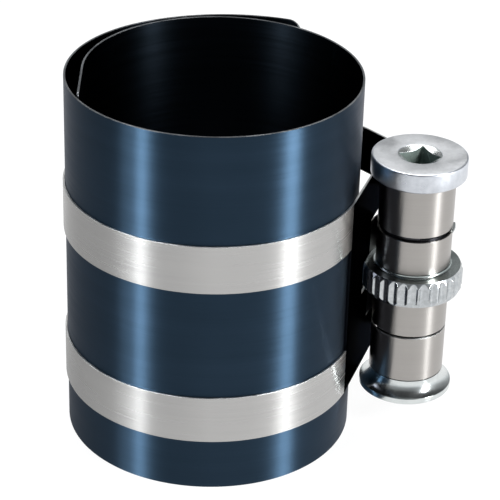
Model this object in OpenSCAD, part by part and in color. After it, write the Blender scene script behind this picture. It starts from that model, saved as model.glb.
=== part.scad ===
// Two-band piston ring compressor: a rolled spring steel sleeve, a strap with
// two bands, and a spindle that winds the bands up against wrap springs.
// Millimetres. The piston's axis is Z, the sleeve's bottom edge is at z = 0,
// and the spindle stands beside the sleeve on +X.

/* [Sleeve] */
// Height of the sleeve
sleeve_height = 80; // [76:0.5:120]
// Thickness of the rolled sheet
sheet_thick = 0.42; // [0.3:0.01:0.5]
// Inner radius of the inner layer, the round that the piston is held in
clamp_radius = 27.8; // [25:0.1:31]
// How much larger the sleeve's main round is than the inner layer's
round_step = 2.2; // [1.8:0.1:2.6]
// Direction in which the inner layer leaves the main round
join_angle = 56; // [45:1:65]
// Direction in which the inner layer's round ends
flap_angle = 180; // [170:1:184]
// Length of the straight flap that ends the inner layer
flap_length = 13.5; // [2:0.5:14]
// Direction in which the outer layer starts to stand off
lift_angle = 122; // [115:1:130]
// How much larger the outer layer's round is than the main round, where it stands off
lift_step = 6.6; // [4:0.1:10]
// Direction of the outer layer's end, seen from its own centre
lift_end_angle = 66; // [64:1:80]
// Rounding of the outer end's corners
outer_corner = 3; // [0.5:0.1:6]
// Rounding of the inner end's corners
inner_corner = 0.8; // [0.3:0.1:4]

/* [Bands] */
// Width of each band
band_width = 10.45; // [9:0.05:10.6]
// Thickness of the bands and of the anchor plate
band_thick = 0.45; // [0.3:0.01:0.55]
// Height of the lower band's bottom edge
lower_band_z = 11.45; // [11:0.05:12]
// Height of the upper band's bottom edge
upper_band_z = 46.15; // [45.5:0.05:48]
// Direction in which the bands leave the sleeve's outer layer
leave_angle = 85; // [80:1:95]
// Direction in which the bands run onto the spindle's spools
arrive_angle = 40; // [35:1:48]
// Radius of the bow between the sleeve and the spools
bow_radius = 14; // [8:0.5:16]
// How far the bands lie round the spools, in degrees
spool_sweep = 235; // [180:1:250]

/* [Anchor plate] */
// Direction in which the anchor plate leaves the sleeve
plate_angle = -18.6; // [-20:0.1:-17]
// How much of the sleeve's round the plate lies on, in degrees
plate_lap = 3; // [1:0.5:10]
// How far the plate runs on past its knuckles, beside the spools
plate_tail = 7.2; // [0.5:0.1:8]
// Height of the slits between the knuckles and the plate beside the spools
plate_slit = 0.3; // [0.2:0.05:0.4]
// How far the knuckles curl round the housing after their first quarter
knuckle_sweep = 258; // [200:1:262]
// Clearance of the plate's window round the release ring
window_gap = 0.5; // [0.3:0.1:1.5]

/* [Spindle] */
// Distance from the inner layer's round to the spindle's axis
spindle_step = 13.8; // [13.6:0.1:14.6]
// Radius of the spindle and of its two drums
drum_radius = 5.75; // [5.5:0.05:5.9]
// Radius of the spigot that joins the spindle to the drive head
spigot_radius = 3.4; // [2.5:0.1:4]
// Length of the spigot
spigot_length = 4; // [3:0.1:4.5]
// Radius of the cross pin through the spigot
cross_pin_radius = 1; // [0.6:0.05:1.3]
// Thickness of the collar under the housing
cheek_thick = 0.4; // [0.3:0.05:0.5]
// Radius of the seat of the base flange
seat_radius = 4.5; // [3.5:0.1:5]
// Height of the staked rim that holds the base flange
stake_height = 0.6; // [0.3:0.1:1.5]
// Width of the staked rim past its seat
stake_width = 0.9; // [0.3:0.1:1.5]
// Width of the slots that take the bands' inner ends
slot_width = 0.55; // [0.45:0.05:0.7]
// Radius of the pins that lock the bands' inner ends
band_pin_radius = 0.6; // [0.45:0.05:0.7]
// Distance of those pins from the spindle's axis
band_pin_reach = 4.55; // [4.4:0.05:4.7]

/* [Wound coils] */
// Half turns of band wound on each drum
coil_halves = 4; // [2:2:4]
// Growth of the coil's radius in one turn
coil_pitch = 0.46; // [0.44:0.01:0.48]
// Thickness of the wound band inside the coil
coil_thick = 0.4; // [0.3:0.01:0.42]
// Clearance of the coils from the bands' outer turns and edges
coil_gap = 0.4; // [0.3:0.01:0.5]

/* [Drive head] */
// Radius of the head
head_radius = 10.1; // [9.5:0.1:11]
// Thickness of the head
head_thick = 4.2; // [3:0.1:6]
// Gap between the upper band and the head
head_gap = 1; // [0.3:0.1:1.5]
// Chamfer of the head's edges
head_chamfer = 0.3; // [0.1:0.05:0.8]
// Size of the square socket across its flats
socket_flats = 6.41; // [6.3:0.01:6.5]
// Depth of the square socket
socket_depth = 10; // [8:0.1:10.5]
// Turn of the square socket about the spindle
socket_turn = 33; // [0:1:90]
// Radius of the socket's lead-in cone
lead_in_radius = 4.6; // [4.6:0.05:5.4]
// Depth of the lead-in cone
lead_in_depth = 0.6; // [0.4:0.1:1.5]

/* [Base flange] */
// Radius of the base flange
base_radius = 9.95; // [9.5:0.05:10.9]
// Height of the flange's underside above the sleeve's bottom edge
base_z = 6.6; // [6:0.1:7.5]
// Height of its straight rim
base_rim = 1.5; // [0.8:0.1:1.6]
// Gap between the flange and the lower band
base_gap = 0.15; // [0.1:0.01:0.6]
// Chamfer of the flange's lower edge
base_chamfer = 0.3; // [0.1:0.05:0.8]

/* [Housing] */
// Gap between the lower band and the housing
lower_gap = 0.55; // [0.5:0.01:0.7]
// Gap between the housing and the upper band
upper_gap = 1.05; // [0.95:0.05:1.3]
// Wall of the housing's inner tube
core_wall = 0.85; // [0.7:0.05:0.9]
// Length of the two bushes
bush_length = 3; // [2:0.1:3.4]
// Radial clearance of the turning fits
running_gap = 0.05; // [0.02:0.01:0.1]
// Clearance of pieces that are fixed in or on each other
fit_gap = 0.03; // [0.01:0.01:0.05]

/* [Release ring] */
// Outer radius of the knurled ring
ring_radius = 10.8; // [10:0.1:11]
// Height of the knurled part of the ring
ring_height = 5.7; // [4.5:0.1:6.2]
// Radius of the hollow shoulders above and below the knurled part
shoulder = 0.6; // [0.3:0.05:0.8]
// Gap between the ring's shoulders and the knuckles above and below it
ring_gap = 0.1; // [0.1:0.05:0.3]
// Number of flutes round the ring
ring_flutes = 31; // [24:1:34]
// Depth of the flutes
flute_depth = 0.5; // [0.3:0.02:0.55]
// Radius of the flutes
flute_radius = 1.25; // [1:0.01:1.3]
// How far the bevels of the ring's edges reach in
bevel_depth = 0.55; // [0.3:0.05:0.6]
// How far they reach along the ring
bevel_height = 1.1; // [0.5:0.05:1.3]
// Depth of the pocket for the springs' tangs
pocket_depth = 1.2; // [0.9:0.1:1.5]
// Width of the pocket, in degrees
pocket_sweep = 35; // [34:1:60]
// How much of the pocket lies behind the tangs at rest, in degrees
pocket_lead = 6; // [5:0.5:8]

/* [Wrap springs] */
// Size of the springs' square wire
spring_wire = 0.62; // [0.5:0.02:0.7]
// Number of turns of each spring
spring_turns = 6; // [3:1:6]
// Depth of the groove between two turns
spring_groove = 0.12; // [0.05:0.01:0.2]
// Direction of the springs' tangs from the spindle's axis
tang_angle = 215; // [190:1:240]
// Clearance of the tangs in the ring's pocket, and of the springs from the bushes
tang_gap = 0.3; // [0.2:0.05:0.4]

/* [Washer and clip] */
// Thickness of the washer on top of the housing
washer_thick = 0.3; // [0.2:0.05:0.3]
// Thickness of the clip
clip_thick = 0.55; // [0.4:0.05:0.55]
// Depth of the clip's groove in the spindle
clip_groove = 0.55; // [0.3:0.05:0.8]
// Outer radius of the clip
clip_radius = 7.2; // [6.6:0.1:7.4]
// Radius that the clip's tip reaches
clip_tip_radius = 8.5; // [8:0.1:8.6]
// Opening of the clip, in degrees
clip_opening = 60; // [30:1:90]
// Width of the clip's tip, in degrees
clip_tip_sweep = 28; // [8:1:40]
// Direction of the clip's tip
clip_tip_angle = -12; // [-30:1:30]

/* [Hidden] */

// Faces round a large and a small circle
wide_faces = 180;
fine_faces = 48;
// Steps along a hollow curve
cove_steps = 8;
// How far a stretch of sheet runs into its neighbours where they join
seam = 0.3;
// How much further in its faces and edges lie than theirs, so that it ends inside them
ease = 0.02;
// How far a cut runs past the face that it opens
overrun = 1;

// Radii of the sleeve's rounds and the spindle's distance, all from the piston's round
round_radius = clamp_radius + round_step;
lift_radius = round_radius + lift_step;
axis_gap = clamp_radius + spindle_step;

// Centres of the sleeve's rounds: the inner layer's is the origin
round_centre = -(round_radius - clamp_radius) * dir(join_angle);
lift_centre = round_centre - (lift_radius - round_radius) * dir(lift_angle);
spindle_axis = [axis_gap, 0];

// Heights along the spindle
lower_band_top = lower_band_z + band_width;
upper_band_top = upper_band_z + band_width;
core_z = lower_band_top + lower_gap;
core_top = upper_band_z - upper_gap;
ring_z = (core_z + core_top - ring_height) / 2;
ring_top = ring_z + ring_height;
ring_low = ring_z - shoulder - ring_gap;
ring_high = ring_top + shoulder + ring_gap;
base_top = lower_band_z - base_gap;
cheek_top = core_z - (lower_gap - cheek_thick);
head_z = upper_band_top + head_gap;
head_top = head_z + head_thick;
clip_z = core_top + washer_thick;
hub_z = clip_z + clip_thick + fit_gap;

// Radii about the spindle's axis
coil_inner = drum_radius + fit_gap;
coil_outer = coil_inner + coil_halves * coil_pitch / 2 + coil_thick;
turn_radius = coil_outer + coil_gap;
hub_radius = turn_radius + band_thick;
core_radius = turn_radius - fit_gap;
core_bore = core_radius - core_wall;
bush_bore = drum_radius + running_gap;
ring_bore = core_radius + running_gap;

// Where the bands lie on the sleeve
band_on_round = round_radius + sheet_thick + fit_gap;
band_on_lift = lift_radius + sheet_thick + fit_gap;

// The plate's straight run, measured along its own direction
plate_run = [-sin(plate_angle), cos(plate_angle)];
to_spindle = spindle_axis - round_centre;
curl_radius = to_spindle * dir(plate_angle) - band_on_round - band_thick;
abreast = to_spindle * plate_run;
straight_length = abreast - (curl_radius - turn_radius);
window_reach = sqrt(pow(ring_radius + window_gap, 2) - pow(curl_radius, 2));
curl_start = 180 + plate_angle;
curl_turn = curl_start - 90;
curl_centre = spindle_axis - (curl_radius - turn_radius) * dir(curl_turn);

// The bow of the bands: two straight runs and the round between them
run_off = lift_centre * dir(leave_angle) + band_on_lift;
run_on = spindle_axis * dir(arrive_angle) + turn_radius;
bow_bend = (leave_angle - arrive_angle) / 2;
bow_corner = [run_on * sin(leave_angle) - run_off * sin(arrive_angle),
              run_off * cos(arrive_angle) - run_on * cos(leave_angle)] / sin(2 * bow_bend);
bow_centre = bow_corner - bow_radius / cos(bow_bend) * dir(arrive_angle + bow_bend);

// Direction of the band pins, over a flat of the socket
pin_angle = socket_turn + 90;

function dir(a) = [cos(a), sin(a)];

// A hollow curve, upright where it leaves the hub, down and out to the edge
function cove(hub, top, edge, foot) =
    let (rise = top - foot,
         reach = edge - hub,
         radius = (rise * rise + reach * reach) / (2 * reach),
         sweep = atan2(rise, radius - reach) / cove_steps)
    [for (i = [0:cove_steps])
        [hub + radius * (1 - cos(sweep * i)), top - radius * sin(sweep * i)]];

// A stretch of sheet on edge, bent round the origin from one angle to another
module bent(inner, thick, from, to, height)
    rotate([0, 0, from])
        rotate_extrude(angle = to - from, $fn = wide_faces)
            translate([inner, 0])
                square([thick, height]);

// The angle that a seam takes up on a round
function seam_angle(inner) = seam / inner * 180 / PI;

// A bent stretch that runs into a neighbour at each end
module bent_between(inner, thick, from, to, height)
    translate([0, 0, ease])
        bent(inner + ease, thick - 2 * ease, from - seam_angle(inner), to + seam_angle(inner),
             height - 2 * ease);

// A straight stretch between two neighbours; its inner face runs from p to q
module straight_between(p, q, thick, height) {
    run = q - p;
    translate(p)
        rotate([0, 0, atan2(run.y, run.x)])
            translate([-seam, ease, ease])
                cube([norm(run) + 2 * seam, thick - 2 * ease, height - 2 * ease]);
}

// What rounds off a corner at the origin of a sheet that lies along +Y, -Z
module corner_waste(radius, inner, thick)
    translate([inner - overrun, 0, 0])
        difference() {
            translate([0, -overrun, -radius])
                cube([thick + 2 * overrun, radius + overrun, radius + overrun]);
            translate([-overrun, radius, -radius])
                rotate([0, 90, 0])
                    cylinder(r = radius, h = thick + 4 * overrun, $fn = fine_faces);
        }

// The corner wastes at the top and at the bottom of a sheet's end
module end_wastes(radius, inner, thick, height) {
    translate([0, 0, height])
        corner_waste(radius, inner, thick);
    mirror([0, 0, 1])
        corner_waste(radius, inner, thick);
}

module sleeve() color([0.16, 0.22, 0.3]) {
    // inner layer and its straight flap
    bent(clamp_radius, sheet_thick, join_angle, flap_angle, sleeve_height);
    difference() {
        rotate([0, 0, flap_angle])
            translate([clamp_radius + ease, -seam, ease])
                cube([sheet_thick - 2 * ease, flap_length + seam, sleeve_height - 2 * ease]);
        rotate([0, 0, flap_angle])
            translate([0, flap_length, 0])
                mirror([0, 1, 0])
                    end_wastes(inner_corner, clamp_radius, sheet_thick, sleeve_height);
    }
    // main round
    translate(round_centre)
        bent_between(round_radius, sheet_thick, lift_angle - 360, join_angle, sleeve_height);
    // outer layer, standing off
    translate(lift_centre)
        difference() {
            bent(lift_radius, sheet_thick, lift_end_angle, lift_angle, sleeve_height);
            rotate([0, 0, lift_end_angle])
                end_wastes(outer_corner, lift_radius, sheet_thick, sleeve_height);
        }
}

// One band from the plate, round the sleeve and on round its spool
module band(z)
    translate([0, 0, z]) {
        translate(round_centre)
            bent_between(band_on_round, band_thick, lift_angle - 360,
                         plate_angle - plate_lap - seam_angle(band_on_round), band_width);
        translate(lift_centre)
            bent(band_on_lift, band_thick, leave_angle, lift_angle, band_width);
        straight_between(lift_centre + band_on_lift * dir(leave_angle),
                         bow_centre + bow_radius * dir(leave_angle), band_thick, band_width);
        translate(bow_centre)
            bent(bow_radius, band_thick, arrive_angle, leave_angle, band_width);
        straight_between(bow_centre + bow_radius * dir(arrive_angle),
                         spindle_axis + turn_radius * dir(arrive_angle), band_thick, band_width);
        translate(spindle_axis)
            bent(turn_radius, band_thick, arrive_angle - spool_sweep, arrive_angle, band_width);
    }

module upper_band() color([0.75, 0.74, 0.72]) band(upper_band_z);

module lower_band() color([0.75, 0.74, 0.72]) band(lower_band_z);

// A block in line with the plate's flat run, between two distances along it
module along_plate(from, to, bottom, top, inner, outer)
    translate(round_centre)
        rotate([0, 0, plate_angle])
            translate([band_on_round + inner, from, bottom])
                cube([outer - inner, to - from, top - bottom]);

// A knuckle: the plate curls in by a quarter turn and then hugs the housing
module knuckle(bottom, top)
    translate([0, 0, bottom]) {
        translate(curl_centre)
            bent(curl_radius, band_thick, curl_turn, curl_start, top - bottom);
        translate(spindle_axis)
            bent_between(turn_radius, band_thick, curl_turn - knuckle_sweep, curl_turn,
                         top - bottom);
    }

module anchor_plate() color([0.6, 0.6, 0.58]) {
    translate([round_centre.x, round_centre.y, lower_band_z])
        bent(band_on_round, band_thick, plate_angle - plate_lap, plate_angle,
             upper_band_top - lower_band_z);
    difference() {
        along_plate(-seam, straight_length + plate_tail, lower_band_z + ease,
                    upper_band_top - ease, ease, band_thick - ease);
        along_plate(abreast - window_reach, straight_length + plate_tail + overrun,
                    ring_low - ease, ring_high + ease,
                    -overrun, band_thick + overrun);
        along_plate(straight_length + seam, straight_length + plate_tail + overrun,
                    core_z - plate_slit, core_top + plate_slit, -overrun,
                    band_thick + overrun);
    }
    knuckle(core_z, ring_low);
    knuckle(ring_high, core_top);
}

// A tube about the spindle's axis
module tube(outer, inner, bottom, top)
    translate([axis_gap, 0, bottom])
        difference() {
            cylinder(r = outer, h = top - bottom, $fn = wide_faces);
            translate([0, 0, -overrun])
                cylinder(r = inner, h = top - bottom + 2 * overrun, $fn = wide_faces);
        }

// The tangs pass through the core and into the ring's pocket at these heights
tang_inset = spring_wire + tang_gap;
pocket_z = ring_z + ring_height / 6;
pocket_top = ring_top - ring_height / 6;

module housing_core() color([0.5, 0.5, 0.5])
    difference() {
        tube(core_radius, core_bore, core_z, core_top);
        translate([axis_gap, 0, pocket_z])
            bent(core_bore - overrun, core_wall + 2 * overrun, tang_angle - pocket_lead,
                 tang_angle - pocket_lead + pocket_sweep, pocket_top - pocket_z);
    }

module upper_bush() color([0.72, 0.56, 0.3])
    tube(core_bore - fit_gap, bush_bore, core_top - bush_length, core_top);

module lower_bush() color([0.72, 0.56, 0.3])
    tube(core_bore - fit_gap, bush_bore, core_z, core_z + bush_length);

// A close wound spring on the spindle; its tang stands below its first turn
module wrap_spring(tang_drop) {
    for (turn = [0:spring_turns - 1])
        translate([0, 0, turn * spring_pitch])
            bent(bush_bore, spring_wire, 0, 360, spring_wire);
    bent(bush_bore, spring_wire - spring_groove, 0, 360,
         (spring_turns - 1) * spring_pitch + spring_wire);
    rotate([0, 0, tang_angle])
        translate([bush_bore, -spring_wire / 2, -tang_drop]) {
            cube([spring_wire, spring_wire, tang_drop + spring_wire / 2]);
            cube([ring_bore + pocket_depth - bush_bore - tang_gap, spring_wire, spring_wire]);
        }
}

spring_room = core_top - bush_length - tang_gap - ring_high;
spring_pitch = (spring_room - spring_wire) / (spring_turns - 1);
upper_tang_drop = ring_high - pocket_top + tang_inset;
lower_tang_drop = pocket_z - ring_low + tang_inset;

module upper_wrap_spring() color([0.35, 0.35, 0.37])
    translate([axis_gap, 0, ring_high])
        wrap_spring(upper_tang_drop);

module lower_wrap_spring() color([0.35, 0.35, 0.37])
    translate([axis_gap, 0, ring_low])
        mirror([0, 0, 1])
            wrap_spring(lower_tang_drop);

// The slot and the round bottom that take a band's inner end
module band_slot(bottom, top)
    rotate([0, 0, pin_angle])
        translate([0, 0, bottom]) {
            translate([band_pin_reach, -slot_width / 2, 0])
                cube([drum_radius - band_pin_reach + overrun, slot_width, top - bottom]);
            translate([band_pin_reach, 0, 0])
                cylinder(r = band_pin_radius + fit_gap, h = top - bottom, $fn = fine_faces);
        }

module spindle() color([0.62, 0.64, 0.66])
    translate([axis_gap, 0, 0])
        difference() {
            union() {
                translate([0, 0, base_top])
                    cylinder(r = drum_radius, h = hub_z - base_top, $fn = wide_faces);
                translate([0, 0, cheek_top - cheek_thick])
                    cylinder(r = coil_outer, h = cheek_thick, $fn = wide_faces);
                translate([0, 0, hub_z])
                    cylinder(r = spigot_radius, h = spigot_length, $fn = fine_faces);
                translate([0, 0, base_z])
                    cylinder(r = seat_radius, h = base_top - base_z, $fn = fine_faces);
                translate([0, 0, base_z - stake_height])
                    cylinder(r1 = seat_radius, r2 = seat_radius + stake_width,
                             h = stake_height, $fn = fine_faces);
            }
            translate([-axis_gap, 0, 0])
                tube(drum_radius + overrun, drum_radius - clip_groove,
                     clip_z - fit_gap, hub_z);
            band_slot(base_top, cheek_top - cheek_thick);
            translate([0, 0, hub_z + spigot_length / 2])
                rotate([0, 90, pin_angle + 90])
                    cylinder(r = cross_pin_radius + fit_gap, h = 4 * drum_radius,
                             center = true, $fn = fine_faces);
        }

module drive_head() color([0.72, 0.74, 0.77])
    translate([axis_gap, 0, 0])
        difference() {
            union() {
                translate([0, 0, hub_z])
                    cylinder(r = drum_radius, h = head_z - hub_z, $fn = wide_faces);
                rotate_extrude($fn = wide_faces)
                    polygon([[0, head_z],
                             [head_radius - head_chamfer, head_z],
                             [head_radius, head_z + head_chamfer],
                             [head_radius, head_top - head_chamfer],
                             [head_radius - head_chamfer, head_top],
                             [0, head_top]]);
            }
            translate([0, 0, head_top - socket_depth])
                rotate([0, 0, socket_turn])
                    translate([-socket_flats / 2, -socket_flats / 2, 0])
                        cube([socket_flats, socket_flats, socket_depth + overrun]);
            translate([0, 0, head_top - lead_in_depth])
                cylinder(r1 = socket_flats / 2, r2 = lead_in_radius,
                         h = lead_in_depth, $fn = wide_faces);
            translate([0, 0, hub_z - overrun])
                cylinder(r = spigot_radius + fit_gap, h = spigot_length + fit_gap + overrun,
                         $fn = fine_faces);
            band_slot(upper_band_z, head_z);
            translate([0, 0, hub_z + spigot_length / 2])
                rotate([0, 90, pin_angle + 90])
                    cylinder(r = cross_pin_radius + fit_gap, h = 4 * drum_radius,
                             center = true, $fn = fine_faces);
        }

module head_pin() color([0.45, 0.45, 0.47])
    translate([axis_gap, 0, hub_z + spigot_length / 2])
        rotate([0, 90, pin_angle + 90])
            cylinder(r = cross_pin_radius, h = 2 * drum_radius - 2 * coil_gap,
                     center = true, $fn = fine_faces);

module base_flange() color([0.72, 0.74, 0.77])
    translate([axis_gap, 0, 0])
        rotate_extrude($fn = wide_faces)
            polygon(concat([[seat_radius + fit_gap, base_top]],
                           cove(hub_radius, base_top, base_radius, base_z + base_rim),
                           [[base_radius, base_z + base_chamfer],
                            [base_radius - base_chamfer, base_z],
                            [seat_radius + fit_gap, base_z]]));

// A band wound on its drum: half turns about two centres, and the locked end
module band_coil(bottom, top)
    translate([axis_gap, 0, bottom])
        rotate([0, 0, pin_angle]) {
            for (half = [0:coil_halves - 1])
                translate([(half % 2 == 0 ? -1 : 1) * coil_pitch / 4, 0, 0])
                    bent(coil_inner + (2 * half + 1) * coil_pitch / 4, coil_thick,
                         180 * half, 180 * (half + 1), top - bottom);
            translate([band_pin_reach + band_pin_radius + 2 * fit_gap, 0, 0])
                translate([0, -coil_thick / 2, 0])
                    cube([coil_inner - band_pin_reach - band_pin_radius + coil_thick / 2,
                          coil_thick, top - bottom]);
        }

module upper_band_coil() color([0.66, 0.65, 0.63])
    band_coil(upper_band_z + coil_gap, upper_band_top);

module lower_band_coil() color([0.66, 0.65, 0.63])
    band_coil(lower_band_z, cheek_top - cheek_thick - fit_gap);

// A pin that locks a band's inner end in its slot
module band_pin(bottom, top)
    translate([axis_gap, 0, bottom])
        rotate([0, 0, pin_angle])
            translate([band_pin_reach, 0, 0])
                cylinder(r = band_pin_radius, h = top - bottom, $fn = fine_faces);

module upper_band_pin() color([0.45, 0.45, 0.47])
    band_pin(upper_band_z + coil_gap, head_z - fit_gap);

module lower_band_pin() color([0.45, 0.45, 0.47])
    band_pin(lower_band_z, cheek_top - cheek_thick - fit_gap);

module thrust_washer() color([0.6, 0.6, 0.62])
    tube(clip_radius, drum_radius + fit_gap, core_top, clip_z);

module retaining_clip() color([0.3, 0.3, 0.32])
    translate([axis_gap, 0, clip_z]) {
        rotate([0, 0, clip_tip_angle])
            bent(drum_radius - clip_groove + fit_gap, clip_radius - drum_radius + clip_groove,
                 -clip_tip_sweep / 2, 360 - clip_opening - clip_tip_sweep / 2, clip_thick);
        rotate([0, 0, clip_tip_angle])
            bent(clip_radius, clip_tip_radius - clip_radius, -clip_tip_sweep / 2,
                 clip_tip_sweep / 2, clip_thick);
    }

// The ring's upper shoulder, which its lower one mirrors
ring_cove = cove(hub_radius, ring_height + shoulder, hub_radius + shoulder, ring_height);

module release_ring() color([0.74, 0.76, 0.78])
    translate([axis_gap, 0, ring_z])
        difference() {
            rotate_extrude($fn = wide_faces)
                polygon(concat([[ring_bore, ring_height + shoulder]],
                               ring_cove,
                               [[ring_radius - bevel_depth, ring_height],
                                [ring_radius, ring_height - bevel_height],
                                [ring_radius, bevel_height],
                                [ring_radius - bevel_depth, 0]],
                               [for (i = [cove_steps:-1:0])
                                   [ring_cove[i].x, ring_height - ring_cove[i].y]],
                               [[ring_bore, -shoulder]]));
            for (flute = [0:ring_flutes - 1])
                rotate([0, 0, 360 * flute / ring_flutes])
                    translate([ring_radius + flute_radius - flute_depth, 0, -overrun])
                        cylinder(r = flute_radius, h = ring_height + 2 * overrun,
                                 $fn = fine_faces);
            translate([0, 0, pocket_z - ring_z])
                bent(ring_bore - overrun, pocket_depth + overrun, tang_angle - pocket_lead,
                     tang_angle - pocket_lead + pocket_sweep, pocket_top - pocket_z);
        }

sleeve();
anchor_plate();
upper_band();
lower_band();
housing_core();
upper_bush();
lower_bush();
upper_wrap_spring();
lower_wrap_spring();
spindle();
drive_head();
head_pin();
base_flange();
upper_band_coil();
lower_band_coil();
upper_band_pin();
lower_band_pin();
thrust_washer();
retaining_clip();
release_ring();
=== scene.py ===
"""Looks of a two-band piston ring compressor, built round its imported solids.

Sizes are millimetres and angles degrees. Only the floor, the world, the lamps and the camera are placed
and sized in metres.
"""

import math

import bmesh
import bpy
from mathutils import Matrix, Vector


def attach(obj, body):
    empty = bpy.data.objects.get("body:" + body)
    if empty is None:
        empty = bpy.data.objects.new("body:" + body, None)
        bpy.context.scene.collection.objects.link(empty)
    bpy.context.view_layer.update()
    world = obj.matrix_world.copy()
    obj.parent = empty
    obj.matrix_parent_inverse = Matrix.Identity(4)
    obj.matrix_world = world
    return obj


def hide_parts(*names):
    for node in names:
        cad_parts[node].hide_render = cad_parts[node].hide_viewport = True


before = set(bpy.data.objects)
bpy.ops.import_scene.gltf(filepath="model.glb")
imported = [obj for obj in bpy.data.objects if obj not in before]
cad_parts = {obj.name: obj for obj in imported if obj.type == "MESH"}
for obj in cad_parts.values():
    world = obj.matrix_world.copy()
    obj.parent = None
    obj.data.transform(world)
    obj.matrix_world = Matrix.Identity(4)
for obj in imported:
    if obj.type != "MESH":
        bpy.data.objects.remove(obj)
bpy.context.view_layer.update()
MM = 0.001
ROOT = "sleeve_and_housing"
SPIN = "winding_spindle"
COLLAR = "release_collar"

# The sizes below are those of the solids. First the sleeve, a sheet that starts in a straight flap and
# goes on round the clamped, the main and the lifted round.
SLEEVE_H = 80.0
SHEET = 0.42
R_CLAMP = 27.8
R_MAIN = 30.0
R_LIFT = 36.6
FLAP_AT = 180.0
FLAP = 13.5
JOIN = 56.0
LIFT = 122.0
LIFT_END = 66.0
FLAP_CORNER = 0.8
LIFT_CORNER = 3.0

# The spindle's axis, the round that the bands and the knuckles curl on, and the tube in the knuckles.
TX = 41.6
R_TURN = 7.5
CORE_Z = 22.45
CORE_TOP = 45.1

# The bands lie on the sleeve, leave it, run round a bow and arrive at their spools.
BAND = 0.45
BAND_W = 10.45
LOW_Z = 11.45
UP_Z = 46.15
BANDS_TOP = UP_Z + BAND_W
FIT = 0.03
LEAVE = 85.0
ARRIVE = 40.0
R_BOW = 14.0
SPOOL = 235.0
R_SPOOL = R_TURN + BAND
R_WORN = 8.2

# The anchor plate leaves the sleeve on a tangent and has a window for the ring, tails and knuckles.
PLATE = -18.6
PLATE_LAP = 3.0
WINDOW_GAP = 0.5
TAIL = 7.2
TAIL_CORNER = 0.6
SLIT = 0.3
KNUCKLE = 260.3

# The plate's lengths overlap a little, and are a hair thinner in turn so that no faces coincide.
OVERLAP = 0.1
SIDE_HAIR = 0.002
TAIL_HAIR = 0.003

# The drive head, and the square socket in it with its round lead-in.
HUB_Z = 46.0
HEAD_Z = 57.6
HEAD_TOP = 61.8
R_HUB = 5.75
R_HEAD = 10.1
R_LEAD_IN = 4.6
SOCKET_TURN = 33.0
SOCKET_HALF = 3.205
SOCKET_DEPTH = 10.0

# The base flange.
BASE_Z = 6.6
BASE_RIM_TOP = 8.1
BASE_TOP = 11.3
BASE_CHAMFER = 0.3
BASE_ROUND = 0.12
R_BASE = 9.95
R_BASE_BORE = 4.53

# The release ring, from its lower to its upper knurled face, with a hollow shoulder beyond each.
RING_Z = 30.925
RING_TOP = 36.625
RING_H = RING_TOP - RING_Z
R_RING = 10.8
R_RING_BORE = 7.52
SHOULDER = 0.6
SHOULDER_GAP = 0.1
RING_LOW = RING_Z - SHOULDER - SHOULDER_GAP
RING_HIGH = RING_TOP + SHOULDER + SHOULDER_GAP
FLUTES = 31
FLUTE_DEPTH = 0.5
R_FLUTE = 1.25
BEVEL = 0.55
BEVEL_H = 1.1

# The retaining clip, and the tip that shows beside the upper spool.
CLIP_Z = 45.4
CLIP_TOP = 45.95
CLIP_FROM = -26.0
CLIP_TO = 274.0
CLIP_W = 1.97
R_CLIP_BORE = 5.23
R_TIP = 7.2
TIP_TO = 2.0
TIP_W = 1.3

# The longest step along a path in millimetres or degrees, finer where it bends tightly.
PITCH = 1.5
BEND_PITCH = 2.5
CLIP_PITCH = 3.0
TIP_PITCH = 2.0
PLATE_PITCH = 0.8
LAP_PITCH = 0.75


def way(a):
    """The direction of an angle in plan."""
    return Vector((math.cos(math.radians(a)), math.sin(math.radians(a))))


C_CLAMP = Vector((0.0, 0.0))
C_MAIN = -(R_MAIN - R_CLAMP) * way(JOIN)
C_LIFT = C_MAIN - (R_LIFT - R_MAIN) * way(LIFT)
AXIS = Vector((TX, 0.0))


def piece(name, verts, faces, body, material, replaces, smooth=35.0):
    """A mesh object from millimetre vertices, riding on a body; edges over the angle smooth stay sharp."""
    mesh = bpy.data.meshes.new(name)
    mesh.from_pydata([[c * MM for c in v] for v in verts], [], faces)
    mesh.validate()
    bm = bmesh.new()
    bm.from_mesh(mesh)
    bmesh.ops.remove_doubles(bm, verts=bm.verts, dist=1e-7)
    bmesh.ops.recalc_face_normals(bm, faces=bm.faces)
    limit = math.radians(smooth)
    for edge in bm.edges:
        if len(edge.link_faces) == 2 and edge.calc_face_angle(0.0) > limit:
            edge.smooth = False
    for face in bm.faces:
        face.smooth = True
    bm.to_mesh(mesh)
    bm.free()
    ob = bpy.data.objects.new(name, mesh)
    bpy.context.scene.collection.objects.link(ob)
    ob.data.materials.append(material)
    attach(ob, body)
    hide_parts(*replaces)
    return ob


def arc(centre, radius, a0, a1, pitch=PITCH):
    """Points and outward normals on a round, from angle a0 to a1."""
    n = max(2, int(math.ceil(abs(a1 - a0) / pitch)))
    directions = [way(a0 + (a1 - a0) * i / n) for i in range(n + 1)]
    return [(centre + radius * d, d) for d in directions]


def line(p, q, normal, pitch=PITCH):
    """Points on a straight, all with the same normal."""
    n = max(1, int(math.ceil((q - p).length / pitch)))
    return [(p.lerp(q, i / n), normal) for i in range(n + 1)]


def chain(*runs):
    """One path from several, without the points that two of them share."""
    out = []
    for run in runs:
        for p, d in run:
            if not out or (out[-1][0] - p).length > 1e-4:
                out.append((p, d))
    return out


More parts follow.
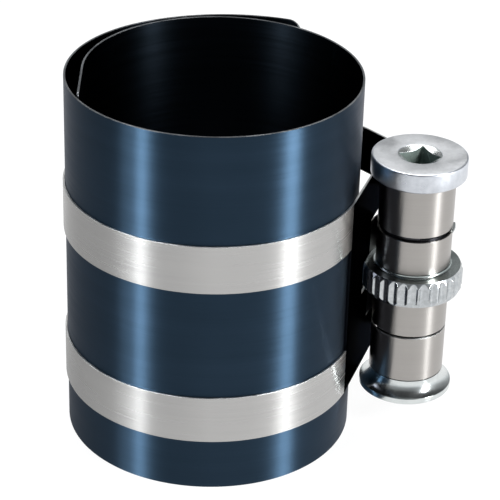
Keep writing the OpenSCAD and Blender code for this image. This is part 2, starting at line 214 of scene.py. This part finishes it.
def corner_stops(path, at, radius, from_end):
    """Extra places on a path where a corner of the sheet is rounded off, closer together at its tip."""
    steps = 9
    stops = []
    for k in range(steps):
        s = radius * (1 - math.cos(math.radians(90 * k / steps)))
        if from_end:
            s = at[-1] - s
        j = next((m for m in range(1, len(at)) if at[m] >= s), len(at) - 1)
        f = (s - at[j - 1]) / (at[j] - at[j - 1])
        (p0, d0), (p1, d1) = path[j - 1], path[j]
        stops.append((s, p0.lerp(p1, f), d0.lerp(d1, f).normalized()))
    return stops


def strip(name, path, thick, z0, z1, body, slot, material, replaces, edge=0.07,
          round_start=0.0, round_end=0.0, inside=None, edges=None):
    """A sheet on edge along a path, with eased edges and rounded end corners.

    Its inner face and its edges may have materials of their own.
    """
    at = [0.0]
    for (p, _), (q, _) in zip(path, path[1:]):
        at.append(at[-1] + (q - p).length)
    total = at[-1]
    stops = [(s, p, d) for s, (p, d) in zip(at, path)]
    if round_start:
        stops += corner_stops(path, at, round_start, False)
    if round_end:
        stops += corner_stops(path, at, round_end, True)
    stops.sort(key=lambda stop: stop[0])
    keep = [stops[0]]
    for stop in stops[1:]:
        if stop[0] - keep[-1][0] > 0.01:
            keep.append(stop)
    keep[-1] = stops[-1]

    verts = []
    for s, p, d in keep:
        cut = 0.0
        for r, gap in ((round_start, s), (round_end, total - s)):
            if r and gap < r:
                cut = max(cut, r - math.sqrt(max(0.0, r * r - (r - gap) ** 2)))
        low, high = z0 + cut, z1 - cut
        for u, z in ((0, low + edge), (0, high - edge), (edge, high), (thick - edge, high),
                     (thick, high - edge), (thick, low + edge), (thick - edge, low), (edge, low)):
            q = p + u * d
            verts.append((q.x, q.y, z))
    size = 8
    faces = []
    for i in range(len(keep) - 1):
        for k in range(size):
            a, b = i * size + k, i * size + (k + 1) % size
            faces.append((a, b, b + size, a + size))
    faces.append(tuple(range(size)))
    faces.append(tuple(reversed(range(len(verts) - size, len(verts)))))
    ob = piece(name, verts, faces, body, material, replaces)
    for sides, other in (((0,), inside), ((1, 2, 3, 5, 6, 7), edges)):
        if other:
            ob.data.materials.append(other)
            for i in range(len(keep) - 1):
                for k in sides:
                    ob.data.polygons[i * size + k].material_index = len(ob.data.materials) - 1
    return ob


def turned(name, sections, body, material, replaces, smooth=35.0, closed=True):
    """A piece about the spindle's axis, from pairs of an angle and a profile of (radius, height) points.

    A profile that isn't closed ends on the axis, and its first points get one flat face.
    """
    count, size = len(sections), len(sections[0][1])
    verts = []
    for a, profile in sections:
        d = way(a)
        verts += [(TX + r * d.x, r * d.y, z) for r, z in profile]
    faces = []
    for i in range(count):
        j = (i + 1) % count
        for k in range(size if closed else size - 1):
            kk = (k + 1) % size
            faces.append((i * size + k, j * size + k, j * size + kk, i * size + kk))
    if not closed:
        faces.append(tuple(i * size for i in range(count)))
    return piece(name, verts, faces, body, material, replaces, smooth)


def from_axis(face):
    """How far a face's middle lies from the spindle's axis, and its height."""
    c = face.center / MM
    return math.hypot(c.x - TX, c.y), c.z


def fillet(corner, before, after, r, steps=5):
    """Points that round off a corner of a turned profile."""
    c, a, b = Vector(corner), Vector(before), Vector(after)
    u, v = (a - c).normalized(), (b - c).normalized()
    half = math.acos(max(-1.0, min(1.0, u.dot(v)))) / 2
    tangent = r / math.tan(half)
    p0, p1 = c + u * tangent, c + v * tangent
    centre = c + (u + v).normalized() * (r / math.sin(half))
    a0 = math.atan2(p0.y - centre.y, p0.x - centre.x)
    a1 = math.atan2(p1.y - centre.y, p1.x - centre.x)
    turn = (a1 - a0 + math.pi) % (2 * math.pi) - math.pi
    angles = [a0 + turn * i / steps for i in range(steps + 1)]
    return [(centre.x + r * math.cos(angle), centre.y + r * math.sin(angle)) for angle in angles]


def cove(hub, high, edge, foot, steps):
    """A hollow curve, upright at the hub, down and out to the edge."""
    rise, out = high - foot, edge - hub
    radius = (rise * rise + out * out) / (2 * out)
    sweep = math.atan2(rise, radius - out)
    return [(hub + radius * (1 - math.cos(sweep * i / steps)), high - radius * math.sin(sweep * i / steps))
            for i in range(steps + 1)]


def node(t, kind, inputs=None, **attributes):
    """A new node with its attributes set; each input gets a value or a link from another node's output."""
    n = t.nodes.new(kind)
    for key, value in attributes.items():
        setattr(n, key, value)
    for key, value in (inputs or {}).items():
        if isinstance(value, bpy.types.NodeSocket):
            t.links.new(value, n.inputs[key])
        else:
            n.inputs[key].default_value = value
    return n


def noise(t, scale, rough, distortion=0.0, stretch=(1, 1, 1)):
    """Noise in the object's own metres, stretched along its axes. It lies between about 0.3 and 0.7."""
    where = node(t, "ShaderNodeTexCoord")
    mapping = node(t, "ShaderNodeMapping", {"Vector": where.outputs["Object"], "Scale": stretch})
    grain = node(t, "ShaderNodeTexNoise", {
        "Vector": mapping.outputs["Vector"], "Scale": scale, "Detail": 3.0, "Roughness": rough,
        "Distortion": distortion})
    return grain.outputs["Fac"]


def ranged(t, value, low, high, from_low=0.3, from_high=0.7):
    """A value taken from one range to another, by default from that of noise."""
    n = node(t, "ShaderNodeMapRange", {
        "Value": value, "From Min": from_low, "From Max": from_high, "To Min": low, "To Max": high})
    return n.outputs["Result"]


def mixed(t, factor, a, b, data_type="FLOAT"):
    """A share of b, by the factor, and the rest of a."""
    n = node(t, "ShaderNodeMix", {"Factor": factor, "A": a, "B": b}, data_type=data_type)
    return n.outputs["Result"]


def calculated(t, operation, a, b):
    """The result of one sum on two values."""
    return node(t, "ShaderNodeMath", {0: a, 1: b}, operation=operation).outputs[0]


def new_metal(name, metallic):
    """A material, its node tree and its shader."""
    m = bpy.data.materials.new(name)
    m.use_nodes = True
    t = m.node_tree
    shader = t.nodes["Principled BSDF"]
    shader.inputs["Metallic"].default_value = metallic
    return m, t, shader


def dress(t, shader, dark, light, shade, rough, rough_shade, relief, depth, strength):
    """A metal's colour from dark to light, its range of roughness and its relief, each by a noise."""
    colour = mixed(t, ranged(t, shade, 0.0, 1.0), (*dark, 1), (*light, 1), "RGBA")
    bump = node(t, "ShaderNodeBump", {"Strength": strength, "Distance": depth, "Height": relief})
    t.links.new(colour, shader.inputs["Base Color"])
    t.links.new(ranged(t, rough_shade, *rough), shader.inputs["Roughness"])
    t.links.new(bump.outputs["Normal"], shader.inputs["Normal"])


def brushed(name, dark, light, rough, aniso, lines, tint=(1.0, 1.0, 1.0)):
    """Strip steel with fine lines along it, some streaks and soft cloudiness."""
    line_pitch, line_depth = 0.00045, 0.000004
    m, t, shader = new_metal(name, 1.0)
    shader.inputs["Anisotropic"].default_value = aniso
    shader.inputs["Specular Tint"].default_value = (*tint, 1.0)
    fine = noise(t, 1.0, 0.6, stretch=(30, 30, 1.0 / line_pitch))
    streaks = noise(t, 1.0, 0.5, stretch=(16, 16, 420))
    cloud = noise(t, 60.0, 0.5)
    shade = mixed(t, 0.3, mixed(t, 0.45, fine, streaks), cloud)
    dress(t, shader, dark, light, shade, (rough * (1 - 0.14 * lines), rough * (1 + 0.18 * lines)), fine,
          fine, line_depth, 0.6 * lines)
    # An upright tangent: lines that run round the part stretch the highlights upright.
    up = node(t, "ShaderNodeCombineXYZ", {"Z": 1.0})
    t.links.new(up.outputs["Vector"], shader.inputs["Tangent"])
    return m


def plated(name, dark, light, rough, speckle, size=900.0, depth=0.00003, metallic=1.0):
    """Plated steel: slightly uneven colour, fine speckle, small dents."""
    m, t, shader = new_metal(name, metallic)
    grain = noise(t, size, 0.6)
    soft = noise(t, 160.0, 0.5, 0.4)
    dress(t, shader, dark, light, mixed(t, 0.5, grain, soft), (rough * 0.8, rough * 1.25), soft,
          grain, depth, 0.5 * speckle)
    return m


BLUED = brushed("blued_spring_steel", (0.019, 0.036, 0.057), (0.027, 0.049, 0.078), 0.37, 1.0, 0.5,
                tint=(0.8, 0.8, 0.82))
# Painted shade: a near-black copy of the blued steel for the inner faces of the sleeve and the bands.
SHADED = brushed("painted_shade_inner_steel", (0.004, 0.006, 0.008), (0.007, 0.010, 0.014), 0.35, 0.8, 0.5,
                 tint=(0.1, 0.12, 0.14))
BARE = brushed("bare_strip_steel", (0.41, 0.405, 0.40), (0.475, 0.47, 0.46), 0.26, 0.9, 0.4)
# The plate's near-black colour is partly its own dark steel and partly painted shade, for the dark
# surroundings it mirrors.
DARK = brushed("dark_steel_and_painted_shade", (0.018, 0.018, 0.022), (0.036, 0.038, 0.043), 0.16, 0.3, 0.5,
               tint=(0.15, 0.16, 0.18))
TUBE = brushed("polished_strip_steel", (0.36, 0.343, 0.327), (0.396, 0.378, 0.361), 0.30, 0.82, 0.04)
EDGE = plated("cut_edge", (0.54, 0.54, 0.53), (0.78, 0.78, 0.77), 0.40, 0.5)
RIM = plated("blued_cut_edge", (0.108, 0.113, 0.122), (0.216, 0.225, 0.234), 0.38, 0.5)
# The lead-in's speckle runs from dark green to near white: painted glints and shade over the steel's
# colour.
LEAD_IN = plated("broached_lead_in_painted_glints_and_shade", (0.18, 0.216, 0.207), (0.90, 0.92, 0.92), 0.26, 1.0, 1500.0, 0.0001)
HEAD = plated("satin_zinc_plate", (0.48, 0.505, 0.545), (0.67, 0.69, 0.73), 0.34, 1.3)
FACE = plated("satin_zinc_face", (0.43, 0.44, 0.454), (0.61, 0.62, 0.634), 0.50, 1.5)
BRIGHT = plated("bright_plate", (0.57, 0.60, 0.60), (0.68, 0.71, 0.705), 0.20, 0.5, 700.0, 0.00002)
KNURL = plated("knurled_plate", (0.36, 0.38, 0.395), (0.58, 0.60, 0.61), 0.20, 1.0, 1100.0, 0.00005)
# Painted shade: a darker, greener copy of the knurled plate for the ring's hollow shoulders and end faces.
SHADED_RING_PLATE = plated("ring_plate_painted_shade", (0.36, 0.40, 0.39), (0.52, 0.565, 0.56), 0.22, 0.8)
# Painted shade: a darker, greener copy of the head's steel for the socket's walls and floor.
SOCKET = plated("socket_steel_painted_shade", (0.18, 0.23, 0.215), (0.36, 0.43, 0.395), 0.28, 1.0, 1100.0, 0.00004, 0.4)
BLACK = plated("oiled_black_steel", (0.036, 0.036, 0.04), (0.09, 0.09, 0.10), 0.3, 0.5)
INNER = plated("ground_steel", (0.60, 0.61, 0.62), (0.75, 0.76, 0.77), 0.25, 0.5)
BRONZE = plated("bearing_bronze", (0.60, 0.40, 0.17), (0.80, 0.55, 0.27), 0.35, 0.6)


def sleeve():
    """The rolled sheet, its inner face darker with painted shade."""
    path = chain(
        line(Vector((-R_CLAMP, -FLAP)), Vector((-R_CLAMP, 0.0)), Vector((-1.0, 0.0))),
        arc(C_CLAMP, R_CLAMP, FLAP_AT, JOIN),
        arc(C_MAIN, R_MAIN, JOIN, LIFT - 360.0),
        arc(C_LIFT, R_LIFT, LIFT, LIFT_END),
    )
    strip("sleeve_sheet", path, SHEET, 0.0, SLEEVE_H, ROOT, "sleeve_steel", BLUED, ("sleeve",),
          round_start=FLAP_CORNER, round_end=LIFT_CORNER, inside=SHADED, edges=RIM)


def bands():
    """Both bands, with painted shade on their inner face. Their outer face is worn bright where it lies
    round its spool.
    """
    on_main = R_MAIN + SHEET + FIT
    on_lift = R_LIFT + SHEET + FIT
    run_off = C_LIFT.dot(way(LEAVE)) + on_lift
    run_on = AXIS.dot(way(ARRIVE)) + R_TURN
    off, on = math.radians(LEAVE), math.radians(ARRIVE)
    # The two straights would meet in a corner, and the bow rounds it off.
    corner = Vector((run_on * math.sin(off) - run_off * math.sin(on),
                     run_off * math.cos(on) - run_on * math.cos(off))) / math.sin(off - on)
    bow = corner - R_BOW / math.cos((off - on) / 2) * way((LEAVE + ARRIVE) / 2)
    path = chain(
        arc(C_MAIN, on_main, PLATE - PLATE_LAP, LIFT - 360.0),
        arc(C_LIFT, on_lift, LIFT, LEAVE),
        line(C_LIFT + on_lift * way(LEAVE), bow + R_BOW * way(LEAVE), way(LEAVE)),
        arc(bow, R_BOW, LEAVE, ARRIVE, BEND_PITCH),
        line(bow + R_BOW * way(ARRIVE), AXIS + R_TURN * way(ARRIVE), way(ARRIVE)),
        arc(AXIS, R_TURN, ARRIVE, ARRIVE - SPOOL, BEND_PITCH),
    )
    for label, z in (("upper", UP_Z), ("lower", LOW_Z)):
        # Their inner faces, on the bow and the free runs too, get near-black painted shade.
        band = strip(label + "_band_strip", path, BAND, z, z + BAND_W, ROOT, "band_steel", BARE,
                     (label + "_band",), inside=SHADED, edges=EDGE)
        band.data.materials.append(TUBE)
        for f in band.data.polygons:
            if f.material_index == 0 and from_axis(f)[0] < R_WORN:
                f.material_index = len(band.data.materials) - 1


def anchor_plate():
    """The plate from its lap on the sleeve to the ring's window, its tails, and the knuckles."""
    on_main = R_MAIN + SHEET + FIT
    to_axis = AXIS - C_MAIN
    facing = way(PLATE)
    along = Vector((-math.sin(math.radians(PLATE)), math.cos(math.radians(PLATE))))
    curl_r = to_axis.dot(facing) - on_main - BAND
    abreast = to_axis.dot(along)
    straight = abreast - (curl_r - R_TURN)
    window = abreast - math.sqrt((R_RING + WINDOW_GAP) ** 2 - curl_r ** 2)
    foot = C_MAIN + on_main * facing

    def run(s0, s1):
        return line(foot + s0 * along, foot + s1 * along, facing, PLATE_PITCH)

    def plate(label, path, thick, z0, z1, **corners):
        # Near black: partly dark steel, partly painted shade.
        strip("anchor_plate_" + label, path, thick, z0, z1, ROOT, "plate_steel", DARK, ("anchor_plate",),
              edges=EDGE, **corners)

    lap = arc(C_MAIN, on_main, PLATE - PLATE_LAP, PLATE, LAP_PITCH)
    plate("web", chain(lap, run(0, window)), BAND, LOW_Z, BANDS_TOP)
    side = run(window - OVERLAP, straight)
    plate("lower", side, BAND - SIDE_HAIR, LOW_Z, RING_LOW)
    plate("upper", side, BAND - SIDE_HAIR, RING_HIGH, BANDS_TOP)
    tail = run(straight - OVERLAP, straight + TAIL)
    plate("tail_lower", tail, BAND - TAIL_HAIR, LOW_Z, CORE_Z - SLIT, round_end=TAIL_CORNER)
    plate("tail_upper", tail, BAND - TAIL_HAIR, CORE_TOP + SLIT, BANDS_TOP, round_end=TAIL_CORNER)

    # A knuckle comes off the straight in a wider curl and then follows the round about the axis. Its inner
    # face is on that round.
    turn0 = 180.0 + PLATE
    turn1 = turn0 - 90.0
    curl = AXIS - (curl_r - R_TURN) * way(turn1)
    path = chain(arc(curl, curl_r, turn0, turn1, BEND_PITCH),
                 arc(AXIS, R_TURN, turn1, turn1 - KNUCKLE, BEND_PITCH))
    for label, z0, z1 in (("lower", CORE_Z, RING_LOW), ("upper", RING_HIGH, CORE_TOP)):
        strip("anchor_knuckle_" + label, path, BAND, z0, z1, ROOT, "band_steel", TUBE, ("anchor_plate",))


def drive_head():
    """The hub and the disc, with eased edges, a square socket and a lead-in that is round at the face."""
    steps = 192
    corner_cut = 0.12
    mouth_drop = 0.07
    lead_in_fall = 0.6
    wall_in, wall_down = 0.06, 0.09
    # How far in from the rim, or out from the lead-in, and how far from the face.
    foot_edge = ((0.25, 0.0), (0.12, 0.06), (0.04, 0.16), (0.0, 0.3))
    rim_edge = ((0.0, 0.35), (0.03, 0.22), (0.11, 0.11), (0.24, 0.04), (0.4, 0.0))
    mouth_edge = ((0.12, 0.0), (0.04, 0.02), (0.0, mouth_drop))
    outer = [(R_HUB, HUB_Z), (R_HUB, HEAD_Z)]
    outer += [(R_HEAD - inward, HEAD_Z + up) for inward, up in foot_edge]
    outer += [(R_HEAD - inward, HEAD_TOP - down) for inward, down in rim_edge]
    outer += [(R_LEAD_IN + outward, HEAD_TOP - down) for outward, down in mouth_edge]
    floor_z = HEAD_TOP - SOCKET_DEPTH

    corners = {round((SOCKET_TURN + 45 + 90 * k) % 360, 4) for k in range(4)}
    sections = []
    for a in sorted({round(360.0 * i / steps, 4) for i in range(steps)} | corners):
        off_flat = (a - SOCKET_TURN + 45) % 90 - 45
        r = min(SOCKET_HALF / math.cos(math.radians(off_flat)), SOCKET_HALF * math.sqrt(2) - corner_cut)
        z = HEAD_TOP - mouth_drop - (R_LEAD_IN - r) / (R_LEAD_IN - SOCKET_HALF) * lead_in_fall
        wall = r - wall_in
        sections.append((a, outer + [(r, z), (wall, z - wall_down), (wall, floor_z), (0.0, floor_z)]))
    head = turned("drive_head_turned", sections, SPIN, HEAD, ("drive_head",), 28.0,
                  closed=False)

    # Faces are told apart by where their middles lie: in the mouth, on its lead-in, or on the top face.
    mouth_r = R_LEAD_IN - 0.04
    hollow_z = 50.0
    lead_in_z = HEAD_TOP - 0.85
    lead_in_r = SOCKET_HALF * 0.9
    face_z = HEAD_TOP - 0.01
    # The socket gets painted shade, and the lead-in painted glints and shade.
    socket, face, lead_in = 1, 2, 3
    for material in (SOCKET, FACE, LEAD_IN):
        head.data.materials.append(material)
    for f in head.data.polygons:
        r, z = from_axis(f)
        if r < mouth_r and z > hollow_z:
            f.material_index = socket if z < lead_in_z or r < lead_in_r else lead_in
        elif z > face_z:
            f.material_index = face


def base_flange():
    """The foot under the lower spool: a rounded rim and a hollow curve up to the spool's round."""
    foot = [(R_BASE_BORE, BASE_Z), (R_BASE - BASE_CHAMFER, BASE_Z), (R_BASE, BASE_Z + BASE_CHAMFER),
            (R_BASE, BASE_RIM_TOP)]
    profile = foot[:1]
    for i in range(1, len(foot)):
        profile += fillet(foot[i], foot[i - 1], foot[(i + 1) % len(foot)], BASE_ROUND)
    profile += reversed(cove(R_SPOOL, BASE_TOP, R_BASE - 0.05, BASE_RIM_TOP + 0.02, 20))
    profile.append((R_BASE_BORE, BASE_TOP))
    steps = 160
    turned("base_flange_turned", [(360.0 * i / steps, profile) for i in range(steps)], SPIN,
           BRIGHT, ("base_flange",))


def release_ring():
    """The knurled ring: flutes between softened crests, both ends bevelled, and hollow shoulders."""
    steps_per_flute = 18
    bevel_steps = 8
    crest_wear = 0.045
    soften = 0.16
    bore_edge = R_SPOOL - 0.05
    pitch = 360.0 / FLUTES
    centre = R_RING + R_FLUTE - FLUTE_DEPTH
    low_levels = [BEVEL_H * k / bevel_steps for k in range(bevel_steps + 1)]
    high_levels = [RING_H - BEVEL_H * k / bevel_steps for k in range(bevel_steps, -1, -1)]
    levels = low_levels + [RING_H / 2] + high_levels
    # The hollow shoulders and the bore, from the upper knurled face round to the lower one.
    under = cove(R_SPOOL, -SHOULDER, R_SPOOL + SHOULDER, 0.0, 8)
    over = cove(R_SPOOL, RING_H + SHOULDER, R_SPOOL + SHOULDER, RING_H, 8)
    inner = over[::-1]
    inner += [(r, RING_H + SHOULDER) for r in (bore_edge, R_RING_BORE)]
    inner += [(r, -SHOULDER) for r in (R_RING_BORE, bore_edge)]
    inner += under

    sections = []
    steps = FLUTES * steps_per_flute
    for i in range(steps):
        a = 360.0 * i / steps
        # The flutes' middles lie at multiples of the pitch, as in the solid.
        off = math.radians(min(a % pitch, pitch - a % pitch))
        inside = R_FLUTE ** 2 - (centre * math.sin(off)) ** 2
        flute = centre * math.cos(off) - math.sqrt(inside) if inside > 0 else math.inf
        outer = []
        for z in levels:
            end = min(z, RING_H - z)
            limit = R_RING - crest_wear - (BEVEL * (1 - end / BEVEL_H) if end < BEVEL_H else 0.0)
            r = min(limit, flute)
            if abs(limit - flute) < soften:
                x = 0.5 + 0.5 * (limit - flute) / soften
                r = limit * (1 - x) + flute * x - soften * x * (1 - x) * 0.5
            outer.append((r, z))
        sections.append((a, [(r, RING_Z + z) for r, z in outer + inner]))
    ring = turned("release_ring_fluted", sections, COLLAR, KNURL, ("release_ring",), 22.0)
    ring.data.materials.append(SHADED_RING_PLATE)
    # The hollow shoulders and the ring's end faces get the painted shade.
    for f in ring.data.polygons:
        r, z = from_axis(f)
        if r < R_RING - BEVEL and not RING_Z + 0.05 < z < RING_TOP - 0.05:
            f.material_index = 1


def clip():
    """The dark clip and its bright tip."""
    strip("clip_body", arc(AXIS, R_CLIP_BORE, CLIP_FROM, CLIP_TO, CLIP_PITCH), CLIP_W, CLIP_Z, CLIP_TOP,
          SPIN, "plated_steel", BLACK, ("retaining_clip",))
    strip("clip_tip", arc(AXIS, R_TIP, CLIP_FROM, TIP_TO, TIP_PITCH), TIP_W, CLIP_Z, CLIP_TOP,
          SPIN, "plated_steel", BRIGHT, ("retaining_clip",), edge=0.12)


def kept_solids():
    """Materials for the solids, those that keep their shape and the clip's."""
    for name, material in {
        "housing_core": BLACK, "upper_bush": BRONZE, "lower_bush": BRONZE, "upper_wrap_spring": INNER,
        "lower_wrap_spring": INNER, "spindle": INNER, "head_pin": INNER, "upper_band_coil": BARE,
        "lower_band_coil": BARE, "upper_band_pin": INNER, "lower_band_pin": INNER, "thrust_washer": BLACK,
        "retaining_clip": BLACK,
    }.items():
        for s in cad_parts[name].material_slots:
            s.material = material


def stage_floor():
    """A white floor that glows for the camera and in mirrored rays, and otherwise takes the light.

    In mirrored rays it darkens to the left, as what the photograph's metal shows there.
    """
    bpy.ops.mesh.primitive_plane_add(size=6.0, location=(0, 0, -0.00002))
    floor = bpy.context.object
    floor.name = "floor"
    m = bpy.data.materials.new("floor_white")
    m.use_nodes = True
    t = m.node_tree
    t.nodes.clear()
    where = node(t, "ShaderNodeTexCoord")
    towards = node(t, "ShaderNodeVectorMath", {0: where.outputs["Object"]}, operation="NORMALIZE")
    parts = node(t, "ShaderNodeSeparateXYZ", {"Vector": towards.outputs[0]})
    level = ranged(t, parts.outputs["X"], low=0.46, high=1.0, from_low=-1.0, from_high=0.0)
    path = node(t, "ShaderNodeLightPath").outputs
    mirrored = calculated(t, "MAXIMUM", path["Is Glossy Ray"], path["Is Transmission Ray"])
    seen = calculated(t, "MAXIMUM", path["Is Camera Ray"], mirrored)
    share = calculated(t, "MULTIPLY", seen, 0.85)
    glow = node(t, "ShaderNodeEmission", {
        "Color": mixed(t, mirrored, (1, 1, 1, 1), level, "RGBA"), "Strength": 1.07})
    diffuse = node(t, "ShaderNodeBsdfDiffuse", {"Color": (0.86, 0.86, 0.86, 1)})
    gloss = node(t, "ShaderNodeBsdfGlossy", {"Roughness": 0.04})
    sheen = node(t, "ShaderNodeMixShader", {0: 0.12, 1: diffuse.outputs[0], 2: gloss.outputs[0]})
    mix = node(t, "ShaderNodeMixShader", {0: share, 1: sheen.outputs[0], 2: glow.outputs[0]})
    node(t, "ShaderNodeOutputMaterial", {"Surface": mix.outputs[0]})
    floor.data.materials.append(m)


def world_light():
    """White for the camera. Other rays get light from white at the horizon to dark above."""
    w = bpy.data.worlds.new("studio")
    bpy.context.scene.world = w
    w.use_nodes = True
    t = w.node_tree
    t.nodes.clear()
    where = node(t, "ShaderNodeTexCoord")
    parts = node(t, "ShaderNodeSeparateXYZ", {"Vector": where.outputs["Generated"]})
    ramp = node(t, "ShaderNodeValToRGB", {"Fac": parts.outputs["Z"]})
    stops = ((0.0, 1.0), (0.08, 0.9), (0.24, 0.38), (0.52, 0.22), (0.66, 0.05), (1.0, 0.033))
    while len(ramp.color_ramp.elements) < len(stops):
        ramp.color_ramp.elements.new(0.5)
    for element, (height, v) in zip(ramp.color_ramp.elements, stops):
        element.position = height
        element.color = (0.95 * v, 0.98 * v, v, 1)
    white = node(t, "ShaderNodeBackground", {"Color": (1, 1, 1, 1), "Strength": 1.0})
    soft = node(t, "ShaderNodeBackground", {"Color": ramp.outputs["Color"], "Strength": 1.0})
    path = node(t, "ShaderNodeLightPath")
    mix = node(t, "ShaderNodeMixShader", {
        0: path.outputs["Is Camera Ray"], 1: soft.outputs[0], 2: white.outputs[0]})
    node(t, "ShaderNodeOutputWorld", {"Surface": mix.outputs[0]})


def softbox(name, azimuth, distance, height, width, tall, power, colour):
    """A flat lamp at an azimuth from the camera's side, positive to the right, aimed at the part."""
    a = math.radians(azimuth)
    spot = Vector((distance * math.sin(a), -distance * math.cos(a), height))
    data = bpy.data.lights.new(name, "AREA")
    data.shape = "RECTANGLE"
    data.size, data.size_y = width, tall
    data.energy = power
    data.color = colour
    ob = bpy.data.objects.new(name, data)
    ob.location = spot
    aim = Vector((0.0, 0.0, 0.04)) - spot
    ob.rotation_mode = "QUATERNION"
    ob.rotation_quaternion = aim.to_track_quat("-Z", "Y")
    bpy.context.scene.collection.objects.link(ob)


def photo_camera():
    """The camera that was fitted to the photograph. Its focal length is in the photograph's pixels."""
    focal, picture, sensor = 2084.4, 500.0, 36.0
    place = (-0.00123, -0.38788, 0.24903)
    pitch, yaw, roll = (math.radians(v) for v in (28.487, 1.212, 1.636))
    data = bpy.data.cameras.new("photo_camera")
    camera = bpy.data.objects.new("photo_camera", data)
    bpy.context.scene.collection.objects.link(camera)
    bpy.context.scene.camera = camera
    data.sensor_fit = "HORIZONTAL"
    data.sensor_width = sensor
    data.lens = focal / picture * sensor
    data.clip_start, data.clip_end = 0.01, 20.0
    ahead = Vector((math.sin(yaw) * math.cos(pitch), math.cos(yaw) * math.cos(pitch), -math.sin(pitch)))
    right = Vector((math.cos(yaw), -math.sin(yaw), 0.0))
    above = right.cross(ahead)
    side = right * math.cos(roll) + above * math.sin(roll)
    up = -right * math.sin(roll) + above * math.cos(roll)
    camera.matrix_world = Matrix((
        (side.x, up.x, -ahead.x, place[0]),
        (side.y, up.y, -ahead.y, place[1]),
        (side.z, up.z, -ahead.z, place[2]),
        (0, 0, 0, 1)))


sleeve()
bands()
anchor_plate()
drive_head()
base_flange()
release_ring()
clip()
kept_solids()

stage_floor()
world_light()
softbox("left_box", azimuth=-52.5, distance=1.2, height=0.48, width=0.16, tall=0.9, power=20.5,
        colour=(0.95, 0.98, 1.0))
softbox("left_fill", azimuth=-64.0, distance=1.2, height=0.48, width=0.24, tall=0.9, power=5.0,
        colour=(0.95, 0.98, 1.0))
softbox("right_box", azimuth=60.0, distance=1.2, height=0.48, width=0.22, tall=0.9, power=28.0,
        colour=(0.97, 0.99, 1.0))
softbox("top_box", azimuth=180.0, distance=0.7, height=1.5, width=1.0, tall=0.8, power=16.5,
        colour=(1, 1, 1))
photo_camera()

bpy.context.scene.view_settings.view_transform = "Standard"

bpy.context.view_layer.update()
